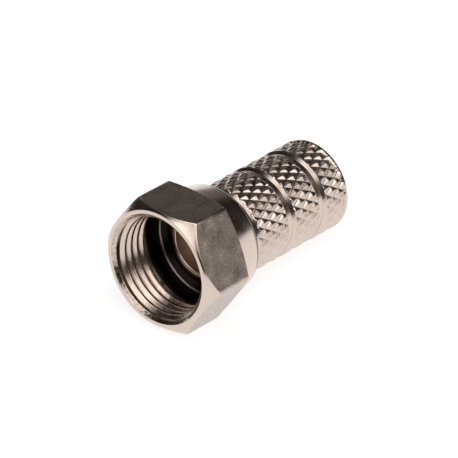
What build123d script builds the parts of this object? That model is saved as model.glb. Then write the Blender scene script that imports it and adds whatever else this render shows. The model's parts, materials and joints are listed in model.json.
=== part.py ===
"""Twist-on F plug for coaxial cable: a hexagonal coupling nut that spins on a knurled cable barrel.

All sizes are in millimetres. Depths run along the plug's axis, from the nut's open front face to
the rear end of the barrel. The plug lies on a flat surface as it would come to rest: on the rear
edge of the nut's lowest flat and on the rim of the barrel, so that its axis slopes down to the rear.
"""

import os
from math import atan, cos, degrees, radians, sin, tan

from build123d import *

# Coupling nut, inside
thread_major_diameter = 9.525
thread_length = 4.15
mouth_flare = 0.2975
mouth_angle = 45.0
relief_cut = 0.1875
relief_corner_chamfer = 0.3
web_thickness = 2.1

# Coupling nut, outside
wall_under_flats = 0.7375
nut_sides = 6
nut_corner_radius = 0.3
blank_margin = 0.3
hexagon_length = 5.07
front_face_inset = 0.12
front_chamfer_angle = 45.0
rear_chamfer_angle = 23.0
collar_length = 3.13
collar_inset = 0.05
collar_taper_angle = 12.0
collar_rear_land = 0.695

# Cable barrel
barrel_gap = 0.55
barrel_length = 12.0
barrel_radius = 4.2
barrel_front_chamfer = 0.3
barrel_rear_chamfer = 0.15
rear_rim_width = 0.35
barrel_wall = 0.85
cable_bore_floor = 0.55
cable_cone_angle = 60.0
cable_mouth_chamfer = 0.25

# Neck and flange that hold the nut by its web
cable_stop_width = 0.7
dielectric_hole_chamfer = 0.1
neck_wall = 0.55
neck_clearance = 0.08
flange_clearance = 0.05
flange_thickness = 0.45
flange_width = 0.5
flange_face_width = 0.45
flange_bevel = 0.14

# Plain grooves between the knurled bands
front_band_length = 3.82
middle_band_length = 3.15
groove_width = 1.03
groove_cut = 0.25

# Diamond knurl: crossing V grooves that leave raised diamonds, each with its peak on the barrel's radius
peaks_around = 27
peak_pitch = 1.65
knurl_cut = 0.14
knurl_margin = 0.1
first_peak_offset = 0.16
knurl_phase = 102.8

# Radii of the barrel, from the outside in, and of the neck and flange round the same bore
cable_bore_radius = barrel_radius - barrel_wall
dielectric_hole_radius = cable_bore_radius - cable_stop_width
neck_radius = dielectric_hole_radius + neck_wall
flange_radius = neck_radius + flange_width
flange_crown_radius = dielectric_hole_radius + flange_face_width

# Radii of the nut, from its thread and its neck outward
thread_major_radius = thread_major_diameter / 2
mouth_radius = thread_major_radius + mouth_flare
relief_radius = thread_major_radius + relief_cut
nut_hole_radius = neck_radius + neck_clearance
flat_radius = thread_major_radius + wall_under_flats
front_face_radius = flat_radius - front_face_inset
collar_front_radius = flat_radius - collar_inset
collar_rear_radius = collar_front_radius - collar_length * tan(radians(collar_taper_angle))

# Depths of the faces that the two pieces share or meet at
nut_length = hexagon_length + collar_length
web_depth = nut_length - web_thickness
flange_rear_depth = web_depth - flange_clearance
flange_front_depth = flange_rear_depth - flange_thickness
barrel_front_depth = nut_length + barrel_gap
barrel_end_depth = barrel_front_depth + barrel_length
barrel_rim_depth = barrel_end_depth - barrel_rear_chamfer

# The resting place: the axis slopes until the barrel's rim meets the surface
slope = atan((flat_radius - barrel_radius) / (barrel_rim_depth - hexagon_length))
along = Vector(cos(slope), 0, -sin(slope))
upward = Vector(sin(slope), 0, cos(slope))
sideways = Vector(0, 1, 0)
front_height = barrel_radius * cos(slope) + barrel_rim_depth * sin(slope)
front_centre = Vector(-barrel_end_depth / 2 * cos(slope), 0, front_height)
plug_axis = Axis(front_centre, along)

# Turned outlines are drawn here: first depth, then radius
meridian = Plane(origin=front_centre, x_dir=along, z_dir=-sideways)


def across(depth):
    """The plane square to the axis at this depth; its x runs sideways and its y upward."""
    return Plane(origin=front_centre + along * depth, x_dir=sideways, z_dir=along)


def near(section, depth, radius):
    """The corner of a turned outline that lies at this depth and radius."""
    return section.vertices().sort_by_distance((depth, radius))[0]


# The blank reaches past the hexagon's corners, so that both chamfers cut the flats in curves
blank_radius = flat_radius / cos(radians(180 / nut_sides)) + blank_margin
front_chamfer_depth = (blank_radius - front_face_radius) * tan(radians(front_chamfer_angle))
rear_chamfer_depth = (blank_radius - collar_front_radius) * tan(radians(rear_chamfer_angle))
mouth_depth = mouth_flare / tan(radians(mouth_angle))

# The rim's rounding takes the collar's rear face down to a narrow flat ring round the hole
rim_rounding_width = collar_rear_radius - nut_hole_radius - collar_rear_land
rim_rounding = rim_rounding_width * tan(radians(90 + collar_taper_angle) / 2)

with BuildPart() as coupling_nut:
    with BuildSketch(meridian) as nut_section:
        with BuildLine():
            Polyline(
                (0, mouth_radius),
                (0, front_face_radius),
                (front_chamfer_depth, blank_radius),
                (hexagon_length - rear_chamfer_depth, blank_radius),
                (hexagon_length, collar_front_radius),
                (nut_length, collar_rear_radius),
                (nut_length, nut_hole_radius),
                (web_depth, nut_hole_radius),
                (web_depth, relief_radius),
                (thread_length, relief_radius),
                (thread_length, thread_major_radius),
                (mouth_depth, thread_major_radius),
                close=True,
            )
        make_face()
        fillet(near(nut_section, nut_length, collar_rear_radius), rim_rounding)
        chamfer(near(nut_section, web_depth, relief_radius), relief_corner_chamfer)
    revolve(axis=plug_axis)
    with BuildSketch(across(0)) as hexagon:
        RegularPolygon(flat_radius, nut_sides, major_radius=False)
        fillet(hexagon.vertices(), nut_corner_radius)
    extrude(amount=nut_length, mode=Mode.INTERSECT)

# Round each ring of the knurl, peaks and crossings of two grooves take turns
knurl_steps = 2 * peaks_around


def knurl_point(ring, step):
    """A peak, or half a step on a crossing of two grooves; from ring to ring they change places."""
    angle = radians(knurl_phase + step * 360 / knurl_steps)
    outward = sideways * cos(angle) + upward * sin(angle)
    depth = barrel_front_depth + first_peak_offset + ring * peak_pitch / 2
    return front_centre + along * depth + outward * (barrel_radius - knurl_cut * ((ring + step) % 2))


def knurl_facets(ring, step):
    """The two flanks of the groove that crosses one cell of the knurl from corner to corner."""
    corners = [knurl_point(ring, step), knurl_point(ring + 1, step)]
    corners += [knurl_point(ring + 1, step + 1), knurl_point(ring, step + 1)]
    if (ring + step) % 2 == 0:
        corners = corners[1:] + corners[:1]
    groove_start, first_peak, groove_end, last_peak = corners
    flanks = (groove_start, first_peak, groove_end), (groove_start, groove_end, last_peak)
    return [Face(Wire.make_polygon(flank)) for flank in flanks]


def knurl_end(ring):
    """The flat face that closes the knurl at one ring."""
    return Face(Wire.make_polygon([knurl_point(ring, step) for step in range(knurl_steps)]))


# The knurl starts before the barrel's front face and ends past it at the rear, and is trimmed to the bands
first_ring = -int(first_peak_offset / (peak_pitch / 2)) - 1
last_ring = int((barrel_length - first_peak_offset) / (peak_pitch / 2)) + 1
knurl_surface = [knurl_end(first_ring), knurl_end(last_ring)]
for ring in range(first_ring, last_ring):
    for step in range(knurl_steps):
        knurl_surface += knurl_facets(ring, step)

# The outline of the bands and grooves stands clear of the peaks and has a side for each step of the knurl
clear_radius = barrel_radius + knurl_margin
groove_radius = barrel_radius - groove_cut
rim_depth = barrel_end_depth - rear_rim_width
band_steps = [(barrel_front_depth, barrel_radius - barrel_front_chamfer)]
band_steps.append((barrel_front_depth + barrel_front_chamfer + knurl_margin, clear_radius))
groove_depth = barrel_front_depth
for band_length in (front_band_length, middle_band_length):
    groove_depth += band_length
    band_steps.append((groove_depth - knurl_margin, clear_radius))
    band_steps.append((groove_depth + groove_cut, groove_radius))
    groove_depth += groove_width
    band_steps.append((groove_depth - groove_cut, groove_radius))
    band_steps.append((groove_depth + knurl_margin, clear_radius))
band_steps.append((rim_depth, clear_radius))

# The neck is rolled outward at its front into the flange, and is one piece with the barrel
cable_bore_depth = barrel_front_depth + cable_bore_floor
cable_cone_depth = cable_bore_depth - cable_stop_width / tan(radians(cable_cone_angle))

with BuildPart() as knurled_barrel:
    add(Solid(Shell(knurl_surface)))
    for depth, radius in band_steps:
        with BuildSketch(across(depth)):
            RegularPolygon(radius, knurl_steps, rotation=knurl_phase)
    loft(ruled=True, mode=Mode.INTERSECT)
    with BuildSketch(meridian) as rim:
        with BuildLine():
            Polyline(
                (rim_depth, 0),
                (rim_depth, barrel_radius),
                (barrel_rim_depth, barrel_radius),
                (barrel_end_depth, barrel_radius - barrel_rear_chamfer),
                (barrel_end_depth, 0),
                close=True,
            )
        make_face()
    revolve(axis=plug_axis)
    with BuildSketch(meridian) as neck_and_flange:
        with BuildLine():
            Polyline(
                (flange_front_depth, 0),
                (flange_front_depth, flange_crown_radius),
                (flange_front_depth + flange_bevel, flange_radius),
                (flange_rear_depth, flange_radius),
                (flange_rear_depth, neck_radius),
                (cable_bore_depth, neck_radius),
                (cable_bore_depth, 0),
                close=True,
            )
        make_face()
    revolve(axis=plug_axis)
    with BuildSketch(meridian) as cable_way:
        with BuildLine():
            Polyline(
                (flange_front_depth, 0),
                (flange_front_depth, dielectric_hole_radius + dielectric_hole_chamfer),
                (flange_front_depth + dielectric_hole_chamfer, dielectric_hole_radius),
                (cable_cone_depth, dielectric_hole_radius),
                (cable_bore_depth, cable_bore_radius),
                (barrel_end_depth - cable_mouth_chamfer, cable_bore_radius),
                (barrel_end_depth, cable_bore_radius + cable_mouth_chamfer),
                (barrel_end_depth, 0),
                close=True,
            )
        make_face()
    revolve(axis=plug_axis, mode=Mode.SUBTRACT)

coupling_nut.part.label = "coupling_nut"
knurled_barrel.part.label = "knurled_barrel"

os.makedirs("parts", exist_ok=True)
for piece in (coupling_nut.part, knurled_barrel.part):
    export_step(piece, f"parts/{piece.label}.step")

print("slope in degrees", round(degrees(slope), 3))
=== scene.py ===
"""Looks of the twist-on F plug: fine surfaces, threads, knurl, plated metal, table, lights and camera.

The plug's sizes are in millimetres until place() turns them into points in metres. Depths run along
its axis from the nut's open front face, and turns run round it, from sideways towards up.
"""

import json
from math import cos, pi, radians, sin, tan

import bpy
import numpy as np
from mathutils import Matrix, Vector


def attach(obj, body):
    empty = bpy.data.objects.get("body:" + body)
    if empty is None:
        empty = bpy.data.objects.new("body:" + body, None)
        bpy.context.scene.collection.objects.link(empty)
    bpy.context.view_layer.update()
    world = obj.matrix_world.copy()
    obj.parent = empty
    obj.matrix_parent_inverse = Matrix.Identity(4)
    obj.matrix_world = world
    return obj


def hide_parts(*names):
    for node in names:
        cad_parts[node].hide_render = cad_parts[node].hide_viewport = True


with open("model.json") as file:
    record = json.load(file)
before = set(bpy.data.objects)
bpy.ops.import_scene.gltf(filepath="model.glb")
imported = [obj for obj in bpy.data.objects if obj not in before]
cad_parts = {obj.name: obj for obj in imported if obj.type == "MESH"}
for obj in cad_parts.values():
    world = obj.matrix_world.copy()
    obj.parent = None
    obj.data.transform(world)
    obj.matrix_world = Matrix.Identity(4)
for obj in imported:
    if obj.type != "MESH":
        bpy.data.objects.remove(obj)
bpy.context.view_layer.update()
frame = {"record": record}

MM = 0.001

# Coupling nut
thread_pitch = 25.4 / 32
thread_length = 4.15
thread_start = 0.37
thread_run_out = 0.3
thread_crest_radius = 4.43
thread_crest_width = thread_pitch / 3
mouth_flare = 0.2975
relief_radius = 4.95
relief_corner_chamfer = 0.3
web_thickness = 2.1
flat_radius = 5.5
nut_sides = 6
nut_corner_radius = 0.3
hexagon_length = 5.07
front_face_radius = 5.38
rear_chamfer_angle = radians(23)
collar_length = 3.13
collar_front_radius = 5.45
collar_taper_angle = radians(12)
rim_rounding_setback = 0.81
nut_hole_radius = 3.28

# Knurled barrel
barrel_gap = 0.55
barrel_length = 12.0
barrel_radius = 4.2
barrel_front_chamfer = 0.3
barrel_rear_chamfer = 0.15
rear_rim_width = 0.35
cable_bore_floor = 0.55
cable_cone_angle = radians(60)
cable_mouth_chamfer = 0.25
front_band_length = 3.82
middle_band_length = 3.15
groove_width = 1.03
groove_cut = 0.25
peaks_around = 27
peak_pitch = 1.65
knurl_cut = 0.14
first_peak_offset = 0.16
knurl_phase = radians(102.8)
peak_softness = 0.35
root_flatness = 0.04
rim_step = 0.05
smooth_edge_width = 0.04

# Ridge in the cable bore that grips the cable's jacket
grip_start = 2.0
grip_end_distance = 1.2
grip_pitch = 1.3
grip_height = 0.25
grip_base_width = 0.7
grip_crest_width = 0.16

# Neck and flange, with fine turned lines on the flange's bevel
neck_radius = 3.2
flange_clearance = 0.05
flange_thickness = 0.45
flange_radius = 3.7
flange_crown_radius = 3.1
flange_bevel = 0.14
hole_lip_width = 0.1
line_count = 7
line_height = 0.012
first_line_share = 0.2
last_line_share = 0.8

# Roundings of turned corners: how far from its corner each starts, and the steps of its arc
sharp = (0, 0)
front_edge_rounding = (0.04, 3)
flat_front_rounding = (0.05, 3)
flat_rear_rounding = (0.02, 2)
rim_rounding = (rim_rounding_setback, 12)
edge_rounding = (0.05, 2)
relief_rounding = (relief_corner_chamfer, 8)
bore_rounding = (0.04, 2)
flange_hole_rounding = (0.09, 4)
flange_crown_rounding = (0.1, 4)
flange_rim_rounding = (0.06, 3)

# Fineness of the meshes
flat_steps = 30
corner_steps = 6
steps_per_turn = 180
steps_per_peak = 20
crease_angle = radians(35)

# The frame gives the axis, the thread's wall and the two bores
mounts = {mount["name"]: mount for mount in frame["record"]["mounts"]}
thread_wall_radius = mounts["port_thread"]["dims"]["r_mm"]
cable_bore_radius = mounts["cable_bore"]["dims"]["r_mm"]
dielectric_hole_radius = mounts["dielectric_bore"]["dims"]["r_mm"]
thread_middle = (mouth_flare + thread_length) / 2
ALONG = -np.array(mounts["port_thread"]["axis"])
SIDEWAYS = np.array((0.0, 1.0, 0.0))
UPWARD = np.cross(ALONG, SIDEWAYS)
FRONT_CENTRE = np.array(mounts["port_thread"]["pos_m"]) / MM - ALONG * thread_middle

mouth_radius = thread_wall_radius + mouth_flare
nut_length = hexagon_length + collar_length
web_depth = nut_length - web_thickness
barrel_front = nut_length + barrel_gap
barrel_end = barrel_front + barrel_length


def place(depth, radius, turn):
    """Points in metres for depths, radii and turns that are numbers or arrays."""
    depth, radius, turn = np.broadcast_arrays(depth, radius, turn)
    outward = np.cos(turn)[..., None] * SIDEWAYS + np.sin(turn)[..., None] * UPWARD
    return (FRONT_CENTRE + depth[..., None] * ALONG + radius[..., None] * outward) * MM


def softened(outline, closed=True):
    """A turned outline with its corners rounded to true arcs, as arrays of depths and radii.

    Each corner is (depth, radius, setback, steps): setback is how far from the corner the arc
    starts on both sides, and a corner with no setback stays sharp. Depths and radii may be arrays
    with a value for each column of the mesh.
    """
    corners = [np.stack(np.broadcast_arrays(*corner[:2])) for corner in outline]
    corners = [np.stack([np.atleast_1d(axis) for axis in corner]) for corner in corners]
    count = len(corners)
    rows = []
    for i, (_, _, setback, steps) in enumerate(outline):
        here = corners[i]
        if setback == 0 or (not closed and i in (0, count - 1)):
            rows.append(here)
            continue
        to_last = corners[i - 1] - here
        to_next = corners[(i + 1) % count] - here
        start = here + setback * to_last / np.hypot(*to_last)
        end = here + setback * to_next / np.hypot(*to_next)
        weight = np.hypot(*(end - start)) / (2 * setback)
        for step in range(steps + 1):
            u = step / steps
            shares = (1 - u) ** 2, 2 * u * (1 - u) * weight, u**2
            rows.append((shares[0] * start + shares[1] * here + shares[2] * end) / sum(shares))
    columns = max(row.shape[1] for row in rows)
    rows = [np.broadcast_to(row, (2, columns)) for row in rows]
    return np.stack([row[0] for row in rows]), np.stack([row[1] for row in rows])


def new_piece(name, points, faces, materials, face_material=None):
    """A smooth-shaded mesh object from points in metres."""
    mesh = bpy.data.meshes.new(name)
    mesh.from_pydata(points.tolist(), [], faces)
    mesh.polygons.foreach_set("use_smooth", [True] * len(mesh.polygons))
    for material in materials:
        mesh.materials.append(material)
    if face_material is not None:
        mesh.polygons.foreach_set("material_index", face_material)
    mesh.update()
    mesh.set_sharp_from_angle(angle=crease_angle)
    piece = bpy.data.objects.new(name, mesh)
    bpy.context.scene.collection.objects.link(piece)
    return piece


def ring_faces(rows, columns, closed):
    """Quads between neighbouring rings, each ring closed round the axis."""
    faces = []
    for i in range(rows if closed else rows - 1):
        here, there = i * columns, (i + 1) % rows * columns
        for j in range(columns):
            k = (j + 1) % columns
            faces.append((here + j, here + k, there + k, there + j))
    return faces


def weigh_normals(piece):
    """Keeps flat faces flat beside their narrow rounded edges."""
    modifier = piece.modifiers.new("flat_faces", "WEIGHTED_NORMAL")
    modifier.weight = 100
    modifier.keep_sharp = True


# Metal

stain_size = 1.25
stain_detail = 3
grain_detail = 2
noise_low = 0.3
noise_high = 0.7


def link(tree, source, target):
    tree.links.new(source, target)


def nickel(name, colour, roughness, roughness_spread, grain_size, grain_depth, grain_tone, mottling):
    """Plated metal: its colour and gloss drift slowly, and a fine grain roughens and darkens it."""
    material = bpy.data.materials.new(name)
    material.use_nodes = True
    tree = material.node_tree
    shader = tree.nodes["Principled BSDF"]
    shader.inputs["Metallic"].default_value = 1.0
    where = tree.nodes.new("ShaderNodeTexCoord").outputs["Object"]

    def noise(size, detail):
        node = tree.nodes.new("ShaderNodeTexNoise")
        node.inputs["Scale"].default_value = 1 / (size * MM)
        node.inputs["Detail"].default_value = detail
        link(tree, where, node.inputs["Vector"])
        return node.outputs["Fac"]

    def remap(value, low, high):
        node = tree.nodes.new("ShaderNodeMapRange")
        node.inputs["From Min"].default_value = noise_low
        node.inputs["From Max"].default_value = noise_high
        node.inputs["To Min"].default_value = low
        node.inputs["To Max"].default_value = high
        link(tree, value, node.inputs["Value"])
        return node.outputs["Result"]

    stain = noise(stain_size, stain_detail)
    grain = noise(grain_size, grain_detail)
    colours = tree.nodes.new("ShaderNodeMix")
    colours.data_type = "RGBA"
    colours.inputs["A"].default_value = (*(channel * (1 - mottling) for channel in colour), 1)
    colours.inputs["B"].default_value = (*colour, 1)
    link(tree, remap(stain, 0, 1), colours.inputs["Factor"])
    grained = tree.nodes.new("ShaderNodeMix")
    grained.data_type = "RGBA"
    grained.blend_type = "MULTIPLY"
    grained.inputs["Factor"].default_value = 1.0
    link(tree, colours.outputs["Result"], grained.inputs["A"])
    link(tree, remap(grain, 1 - grain_tone, 1), grained.inputs["B"])
    link(tree, grained.outputs["Result"], shader.inputs["Base Color"])
    gloss = remap(stain, roughness - roughness_spread, roughness + roughness_spread)
    link(tree, gloss, shader.inputs["Roughness"])
    bump = tree.nodes.new("ShaderNodeBump")
    bump.inputs["Strength"].default_value = 1.0
    bump.inputs["Distance"].default_value = grain_depth * MM
    link(tree, grain, bump.inputs["Height"])
    link(tree, bump.outputs["Normal"], shader.inputs["Normal"])
    return material


nickel_colour = (0.70, 0.585, 0.51)
# Painted shade: a darker colour that dims the reflections on the rings at the back of the nut
ring_shade_colour = (0.22, 0.195, 0.185)
# Painted shade: a much darker colour that paints the shade inside the nut on the web, the relief wall,
# the flange and the neck
recess_shade_colour = (0.1, 0.085, 0.075)

turned_nickel = nickel(
    "turned_nickel", nickel_colour, roughness=0.2, roughness_spread=0.04,
    grain_size=0.12, grain_depth=0.001, grain_tone=0.04, mottling=0.06,
)
drawn_nickel = nickel(
    "drawn_nickel", nickel_colour, roughness=0.3, roughness_spread=0.05,
    grain_size=0.18, grain_depth=0.012, grain_tone=0.42, mottling=0.15,
)
knurled_nickel = nickel(
    "knurled_nickel", nickel_colour, roughness=0.26, roughness_spread=0.05,
    grain_size=0.12, grain_depth=0.002, grain_tone=0.08, mottling=0.1,
)
# Painted shade: the darkened metal for the recess behind the thread, the flange and the neck
deep_nickel = nickel(
    "deep_nickel", recess_shade_colour, roughness=0.22, roughness_spread=0.04,
    grain_size=0.12, grain_depth=0.002, grain_tone=0.1, mottling=0.1,
)
# Painted shade: the darkened metal for the corner of the relief groove and the collar's rear rim
bored_nickel = nickel(
    "bored_nickel", ring_shade_colour, roughness=0.25, roughness_spread=0.04,
    grain_size=0.12, grain_depth=0.002, grain_tone=0.1, mottling=0.1,
)
threaded_nickel = nickel(
    "threaded_nickel", nickel_colour, roughness=0.25, roughness_spread=0.06,
    grain_size=0.25, grain_depth=0.012, grain_tone=0.06, mottling=0.08,
)
scuffed_nickel = nickel(
    "scuffed_nickel", nickel_colour, roughness=0.2, roughness_spread=0.05,
    grain_size=0.3, grain_depth=0.03, grain_tone=0.35, mottling=0.15,
)


# Coupling nut: one column of points for each step round the hexagon

half_side = pi / nut_sides
corner_centre = (flat_radius - nut_corner_radius) / cos(half_side)
corner_angles = np.linspace(-half_side, half_side, corner_steps + 1)
corner_x = corner_centre + nut_corner_radius * np.cos(corner_angles)
corner_y = nut_corner_radius * np.sin(corner_angles)
flat_half = (flat_radius - nut_corner_radius) * tan(half_side)
flat_y = np.linspace(-flat_half, flat_half, flat_steps + 1)[1:-1]
nut_turns = []
reach = []
for side in range(nut_sides):
    corner_turn = 2 * half_side * side
    nut_turns.append(corner_turn + np.arctan2(corner_y, corner_x))
    reach.append(np.hypot(corner_x, corner_y))
    nut_turns.append(corner_turn + half_side + np.arctan2(flat_y, flat_radius))
    reach.append(np.hypot(flat_radius, flat_y))
nut_turns = np.concatenate(nut_turns)
reach = np.concatenate(reach)

collar_rear_radius = collar_front_radius - collar_length * tan(collar_taper_angle)
flat_end = hexagon_length - (reach - collar_front_radius) * tan(rear_chamfer_angle)
nut_outline = [
    (0.0, mouth_radius, *front_edge_rounding),
    (0.0, front_face_radius, *front_edge_rounding),
    (reach - front_face_radius, reach, *flat_front_rounding),
    (flat_end, reach, *flat_rear_rounding),
    (hexagon_length, collar_front_radius, *sharp),
    (nut_length, collar_rear_radius, *rim_rounding),
    (nut_length, nut_hole_radius, *edge_rounding),
    (web_depth, nut_hole_radius, *edge_rounding),
    (web_depth, relief_radius, *relief_rounding),
    (thread_length, relief_radius, *sharp),
    (thread_length, thread_wall_radius, *bore_rounding),
    (mouth_flare, thread_wall_radius, *bore_rounding),
]
nut_depths, nut_radii = softened(nut_outline)
nut_rows, nut_columns = nut_radii.shape

# Each row of faces has the metal of the ring of points that it starts from, and most are turned
tolerance = 0.01
web_edge_width = 0.1
web_rim_radius = relief_radius - relief_corner_chamfer
ring_front, ring_rear = nut_depths.min(1), nut_depths.max(1)
ring_inner, ring_outer = nut_radii.min(1), nut_radii.max(1)
nut_metals = [turned_nickel, drawn_nickel, deep_nickel, bored_nickel, scuffed_nickel]
row_metal = np.full(nut_rows, nut_metals.index(turned_nickel))

# Drawn: the flats, which start at the last ring of the outline's third corner
flat_row = sum(steps + 1 for *_, steps in nut_outline[:3]) - 1
row_metal[flat_row] = nut_metals.index(drawn_nickel)

# Painted shade: the corner of the relief groove, and the rings of the collar's rear rim at the same
# radii, get a darker metal, which paints shade on them and dims their reflections
behind_thread = ring_front > thread_length
in_corner = (ring_inner > web_rim_radius - tolerance) & (ring_outer < relief_radius + tolerance)
row_metal[behind_thread & in_corner] = nut_metals.index(bored_nickel)

# Painted shade: the front face of the web and the wall of the relief groove get a much darker metal,
# which paints the shade of the recess
in_recess = (ring_front > thread_length - tolerance) & (ring_rear < web_depth + web_edge_width)
on_web = ring_outer < web_rim_radius + tolerance
on_relief_wall = (ring_inner > relief_radius - tolerance) & (ring_outer < relief_radius + tolerance)
row_metal[in_recess & (on_web | on_relief_wall)] = nut_metals.index(deep_nickel)

# Scuffed: the countersink of the mouth
in_mouth = (ring_rear < mouth_flare + tolerance) & (ring_inner > thread_wall_radius - tolerance)
row_metal[in_mouth & (ring_outer < mouth_radius + tolerance)] = nut_metals.index(scuffed_nickel)

nut = new_piece(
    "coupling_nut_surface",
    place(nut_depths, nut_radii, nut_turns[None, :]).reshape(-1, 3),
    ring_faces(nut_rows, nut_columns, closed=True),
    nut_metals,
    np.repeat(row_metal, nut_columns),
)
weigh_normals(nut)
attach(nut, "nut_body")
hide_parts("coupling_nut")


# Threads: a ridge that winds inward from a wall, right-handed, and fades out at both ends

fade_turns = 0.4
faded_width_share = 0.3
crest_rounding_share = 0.45
crest_rounding_steps = 4
wall_sink = 0.02


def helical_ridge(
    name, start, end, pitch, wall_radius, crest_radius, base_width, crest_width, material, cone_radius=0
):
    """start and end are the depths of the ridge's middle at its two ends.

    A 45 degree cone that opens to cone_radius at the front face cuts the ridge's crest off; the ridge
    hides behind the cone where the cone is wider than the wall. With no cone_radius nothing is cut.
    """
    turns = (end - start) / pitch
    steps = int(turns * steps_per_turn)
    share = np.linspace(0, 1, steps + 1)[:, None] * turns
    fade = np.clip(np.minimum(share, turns - share) / fade_turns, 0, 1)
    half_base, half_crest = base_width / 2, crest_width / 2
    crest_rounding = (crest_width * crest_rounding_share, crest_rounding_steps)
    outline = [
        (-half_base, wall_radius + wall_sink, *sharp),
        (-half_base, wall_radius, *sharp),
        (-half_crest, crest_radius, *crest_rounding),
        (half_crest, crest_radius, *crest_rounding),
        (half_base, wall_radius, *sharp),
        (half_base, wall_radius + wall_sink, *sharp),
    ]
    offsets, radii = (values.T for values in softened(outline, closed=False))
    rise = (wall_radius - radii) * np.where(radii < wall_radius, fade, 1)
    width = offsets * (faded_width_share + (1 - faded_width_share) * fade)
    depth = start + pitch * share + width
    cone = cone_radius - depth
    radius = np.maximum(wall_radius - rise, cone + np.where(cone > wall_radius, wall_sink, 0))
    points = place(depth, radius, 2 * pi * share)
    rows, columns = depth.shape
    faces = [(a, d, c, b) for a, b, c, d in ring_faces(rows, columns, closed=False)]
    faces.append(tuple(range(columns)))
    faces.append(tuple(reversed(range((rows - 1) * columns, rows * columns))))
    return new_piece(name, points.reshape(-1, 3), faces, (material,))


coupling_thread = helical_ridge(
    "coupling_thread",
    start=thread_start,
    end=thread_length - thread_run_out,
    pitch=thread_pitch,
    wall_radius=thread_wall_radius,
    crest_radius=thread_crest_radius,
    base_width=thread_pitch,
    crest_width=thread_crest_width,
    material=threaded_nickel,
    cone_radius=mouth_radius,
)
weigh_normals(coupling_thread)
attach(coupling_thread, "nut_body")

cable_thread = helical_ridge(
    "cable_thread",
    start=barrel_front + grip_start,
    end=barrel_end - grip_end_distance,
    pitch=grip_pitch,
    wall_radius=cable_bore_radius,
    crest_radius=cable_bore_radius - grip_height,
    base_width=grip_base_width,
    crest_width=grip_crest_width,
    material=turned_nickel,
)
weigh_normals(cable_thread)
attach(cable_thread, "cable_body")


# Knurled barrel, outside: fine rings, with the bands' edges among them and the knurl rolled in

outer_columns = peaks_around * steps_per_peak
outer_turns = knurl_phase + np.arange(outer_columns) * 2 * pi / outer_columns

# The knurl's edges are the start and the end of each knurled band in turn
band_steps = [(barrel_front, barrel_radius - barrel_front_chamfer)]
band_steps.append((barrel_front + barrel_front_chamfer, barrel_radius))
knurl_edges = [barrel_front + barrel_front_chamfer / 2]
groove_start = barrel_front
for band_length in (front_band_length, middle_band_length):
    groove_start += band_length
    band_steps.append((groove_start, barrel_radius))
    band_steps.append((groove_start + groove_cut, barrel_radius - groove_cut))
    knurl_edges.append(groove_start + groove_cut)
    groove_start += groove_width
    band_steps.append((groove_start - groove_cut, barrel_radius - groove_cut))
    band_steps.append((groove_start, barrel_radius))
    knurl_edges.append(groove_start + smooth_edge_width)
knurl_edges.append(barrel_end - rear_rim_width)
band_steps.append((barrel_end - rear_rim_width, barrel_radius))
band_steps.append((barrel_end - barrel_rear_chamfer, barrel_radius))
band_steps.append((barrel_end, barrel_radius - barrel_rear_chamfer))
band_depths, band_radii = np.array(band_steps).T

# Even rings that would lie too close to a band's edge are left out
row_gap = peak_pitch / steps_per_peak
least_gap = row_gap * 0.3
first_row = barrel_front + first_peak_offset % row_gap
even_rows = np.arange(first_row, barrel_end, row_gap)
clear = np.abs(even_rows[:, None] - band_depths[None, :]).min(1) > least_gap
outer_depths = np.sort(np.concatenate([even_rows[clear], band_depths]))


def knurl_drop(depth, turn):
    """How far the knurl lies below the barrel's surface: rounded peaks between crossing grooves."""
    x = (depth - barrel_front - first_peak_offset) / peak_pitch
    y = (turn - knurl_phase) * peaks_around / (2 * pi)
    u_off = np.abs(x + y - np.round(x + y))
    v_off = np.abs(x - y - np.round(x - y))
    away = 2 * np.maximum(u_off, v_off)
    full = np.hypot(1, peak_softness) - peak_softness
    drop = (np.hypot(away, peak_softness) - peak_softness) / full
    return knurl_cut * np.minimum(drop, 1 - root_flatness)


grid_depth, grid_turn = np.meshgrid(outer_depths, outer_turns, indexing="ij")
plain_radius = np.interp(grid_depth, band_depths, band_radii)
knurled = np.zeros_like(grid_depth)
for band_start, band_end in zip(knurl_edges[::2], knurl_edges[1::2]):
    inside = np.minimum(grid_depth - band_start, band_end - grid_depth)
    knurled = np.maximum(knurled, np.clip(inside / rim_step, 0, 1))
outer_radii = np.minimum(plain_radius, barrel_radius - knurled * knurl_drop(grid_depth, grid_turn))

# Knurled barrel, inside: bore, flange and neck, in rings with half as many points
inner_turns = outer_turns[::2]
join_width = 0.05
cable_bore_depth = barrel_front + cable_bore_floor
cable_stop = (cable_bore_radius - dielectric_hole_radius) / tan(cable_cone_angle)
flange_rear = web_depth - flange_clearance
flange_front = flange_rear - flange_thickness
flange_lines = []
for line, share in enumerate(np.linspace(first_line_share, last_line_share, line_count)):
    raised = line_height * (line % 2)
    line_radius = flange_crown_radius + share * (flange_radius - flange_crown_radius)
    flange_lines.append((flange_front + share * flange_bevel - raised, line_radius, *sharp))
inner_outline = [
    (barrel_end, barrel_radius - barrel_rear_chamfer - join_width, *sharp),
    (barrel_end, cable_bore_radius + cable_mouth_chamfer, *bore_rounding),
    (barrel_end - cable_mouth_chamfer, cable_bore_radius, *bore_rounding),
    (cable_bore_depth, cable_bore_radius, *bore_rounding),
    (cable_bore_depth - cable_stop, dielectric_hole_radius, *bore_rounding),
    (flange_front, dielectric_hole_radius, *flange_hole_rounding),
    (flange_front, flange_crown_radius, *flange_crown_rounding),
    *flange_lines,
    (flange_front + flange_bevel, flange_radius, *flange_rim_rounding),
    (flange_rear, flange_radius, *edge_rounding),
    (flange_rear, neck_radius, *sharp),
    (barrel_front, neck_radius, *sharp),
    (barrel_front, barrel_radius - barrel_front_chamfer - join_width, *sharp),
]
inner_depths, inner_radii = softened(inner_outline, closed=False)
outer_points = place(grid_depth, outer_radii, grid_turn)
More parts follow.
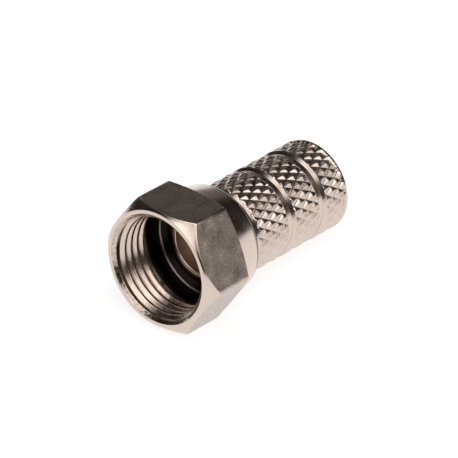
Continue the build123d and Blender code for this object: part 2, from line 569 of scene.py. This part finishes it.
inner_points = place(inner_depths, inner_radii, inner_turns[None, :])
outer_rows = len(outer_depths)
outer_count = outer_rows * outer_columns
inner_rows, inner_columns = inner_points.shape[:2]


def join_rings(fine_start, coarse_start, flip):
    """Faces from a fine ring to one with half as many points."""
    faces = []
    for j in range(inner_columns):
        k = (j + 1) % inner_columns
        fine = [fine_start + 2 * j, fine_start + 2 * j + 1, fine_start + (2 * j + 2) % outer_columns]
        coarse = [coarse_start + j, coarse_start + k]
        triple = [
            (fine[0], fine[1], coarse[0]),
            (fine[1], coarse[1], coarse[0]),
            (fine[1], fine[2], coarse[1]),
        ]
        faces += [tuple(reversed(face)) if flip else face for face in triple]
    return faces


inner_faces = ring_faces(inner_rows, inner_columns, closed=False)
barrel_faces = ring_faces(outer_rows, outer_columns, closed=False)
barrel_faces += [tuple(outer_count + corner for corner in face) for face in inner_faces]
barrel_faces += join_rings(outer_count - outer_columns, outer_count, flip=False)
barrel_faces += join_rings(0, outer_count + (inner_rows - 1) * inner_columns, flip=True)

# The knurl has a metal of its own; the flange and the neck behind it get a much darker metal, which
# paints the shade inside the nut; the rest is turned
barrel_metals = [turned_nickel, knurled_nickel, deep_nickel]
in_knurl = (knurled[:-1, 0] > 0) & (knurled[1:, 0] > 0)
outside_hole = inner_radii[:-1, 0] > dielectric_hole_radius + hole_lip_width
on_flange = outside_hole & (inner_depths[:-1, 0] < web_depth)
knurl_faces = np.flatnonzero(np.repeat(in_knurl, outer_columns))
flange_faces = len(in_knurl) * outer_columns + np.flatnonzero(np.repeat(on_flange, inner_columns))
barrel_material = np.full(len(barrel_faces), barrel_metals.index(turned_nickel))
barrel_material[knurl_faces] = barrel_metals.index(knurled_nickel)
barrel_material[flange_faces] = barrel_metals.index(deep_nickel)
barrel = new_piece(
    "knurled_barrel_surface",
    np.concatenate([outer_points.reshape(-1, 3), inner_points.reshape(-1, 3)]),
    barrel_faces,
    barrel_metals,
    barrel_material,
)
weigh_normals(barrel)
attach(barrel, "cable_body")
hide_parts("knurled_barrel")


# Table: white paper that reads white in the picture and in the metal, and still takes the plug's shadow

table_size = 4.0
table_glow = 0.84
paper_colour = (0.9, 0.9, 0.9, 1)
shadow_colour = (0.25, 0.25, 0.25, 1)

half = table_size / 2
table_corners = [(-half, -half, 0), (half, -half, 0), (half, half, 0), (-half, half, 0)]
table_mesh = bpy.data.meshes.new("table")
table_mesh.from_pydata(table_corners, [], [(0, 1, 2, 3)])
table = bpy.data.objects.new("table", table_mesh)
bpy.context.scene.collection.objects.link(table)

paper = bpy.data.materials.new("paper")
paper.use_nodes = True
tree = paper.node_tree
tree.nodes.clear()
matt = tree.nodes.new("ShaderNodeBsdfDiffuse")
matt.inputs["Color"].default_value = paper_colour
seen_matt = tree.nodes.new("ShaderNodeBsdfDiffuse")
seen_matt.inputs["Color"].default_value = shadow_colour
glow = tree.nodes.new("ShaderNodeEmission")
glow.inputs["Strength"].default_value = table_glow
seen = tree.nodes.new("ShaderNodeAddShader")
link(tree, seen_matt.outputs["BSDF"], seen.inputs[0])
link(tree, glow.outputs["Emission"], seen.inputs[1])
path = tree.nodes.new("ShaderNodeLightPath")
camera_or_glossy = tree.nodes.new("ShaderNodeMath")
camera_or_glossy.operation = "MAXIMUM"
link(tree, path.outputs["Is Camera Ray"], camera_or_glossy.inputs[0])
link(tree, path.outputs["Is Glossy Ray"], camera_or_glossy.inputs[1])
any_view = tree.nodes.new("ShaderNodeMath")
any_view.operation = "MAXIMUM"
link(tree, camera_or_glossy.outputs["Value"], any_view.inputs[0])
link(tree, path.outputs["Is Transmission Ray"], any_view.inputs[1])
choice = tree.nodes.new("ShaderNodeMixShader")
link(tree, any_view.outputs["Value"], choice.inputs["Fac"])
link(tree, matt.outputs["BSDF"], choice.inputs[1])
link(tree, seen.outputs["Shader"], choice.inputs[2])
output = tree.nodes.new("ShaderNodeOutputMaterial")
link(tree, choice.outputs["Shader"], output.inputs["Surface"])
table_mesh.materials.append(paper)

# World: a dim room with soft round panels of light, two of them with a brighter middle

room_colour = (0.014, 0.0125, 0.0115)

# Each is (azimuth, height, inner, outer, colour), in degrees: full light within inner, none past outer
panels = [
    (35, 12, 6, 24, (0.14, 0.13, 0.125)),
    (75, 22, 6, 22, (0.85, 0.82, 0.8)),
    (168, 8, 8, 18, (1.25, 1.21, 1.17)),
    (172, 47, 8, 18, (1.3, 1.27, 1.25)),
    (-163, 32, 9, 20, (1.35, 1.32, 1.3)),
    (172, 47, 2, 9, (0.7, 0.69, 0.68)),
    (-163, 32, 2, 9, (0.5, 0.49, 0.48)),
    (-66, 8, 4, 20, (0.75, 0.72, 0.7)),
    (-62, 42, 10, 29, (1.1, 1.07, 1.045)),
    (0, 90, 14, 31, (1.9, 1.87, 1.84)),
    (-98, 60, 22, 40, (1.6, 1.57, 1.54)),
]
world = bpy.data.worlds.new("room")
bpy.context.scene.world = world
world.use_nodes = True
tree = world.node_tree
background = tree.nodes["Background"]
direction = tree.nodes.new("ShaderNodeTexCoord").outputs["Generated"]
light = None
for azimuth, height, inner_angle, outer_angle, colour in panels:
    a, h = radians(azimuth), radians(height)
    dot = tree.nodes.new("ShaderNodeVectorMath")
    dot.operation = "DOT_PRODUCT"
    dot.inputs[1].default_value = (cos(a) * cos(h), sin(a) * cos(h), sin(h))
    link(tree, direction, dot.inputs[0])
    edge = tree.nodes.new("ShaderNodeMapRange")
    edge.interpolation_type = "SMOOTHSTEP"
    edge.inputs["From Min"].default_value = cos(radians(outer_angle))
    edge.inputs["From Max"].default_value = cos(radians(inner_angle))
    link(tree, dot.outputs["Value"], edge.inputs["Value"])
    mix = tree.nodes.new("ShaderNodeMix")
    mix.data_type = "RGBA"
    mix.blend_type = "ADD"
    link(tree, edge.outputs["Result"], mix.inputs["Factor"])
    mix.inputs["B"].default_value = (*colour, 1)
    if light is None:
        mix.inputs["A"].default_value = (*room_colour, 1)
    else:
        link(tree, light, mix.inputs["A"])
    light = mix.outputs["Result"]
link(tree, light, background.inputs["Color"])

# Camera: a long lens, placed by where it aims, its bearing and its height angle

camera_aim = Vector((-0.44, 0.319, 4.808)) * MM
camera_distance = 387.46 * MM
camera_azimuth = radians(-50.156)
camera_elevation = radians(34.594)
camera_roll = radians(0.975)
nearest_seen = 0.01
farthest_seen = 20.0
sensor_width = 36.0
picture_width = 458
focal_pixels = 4500

camera_data = bpy.data.cameras.new("camera")
camera_data.sensor_width = sensor_width
camera_data.lens = focal_pixels / picture_width * sensor_width
camera_data.clip_start = nearest_seen
camera_data.clip_end = farthest_seen
camera = bpy.data.objects.new("camera", camera_data)
back = Vector((
    sin(camera_azimuth) * cos(camera_elevation),
    -cos(camera_azimuth) * cos(camera_elevation),
    sin(camera_elevation),
))
camera.matrix_world = (
    Matrix.Translation(camera_aim + back * camera_distance)
    @ back.to_track_quat("Z", "Y").to_matrix().to_4x4()
    @ Matrix.Rotation(camera_roll, 4, "Z")
)
bpy.context.scene.collection.objects.link(camera)
bpy.context.scene.camera = camera

bpy.context.scene.view_settings.view_transform = "Standard"
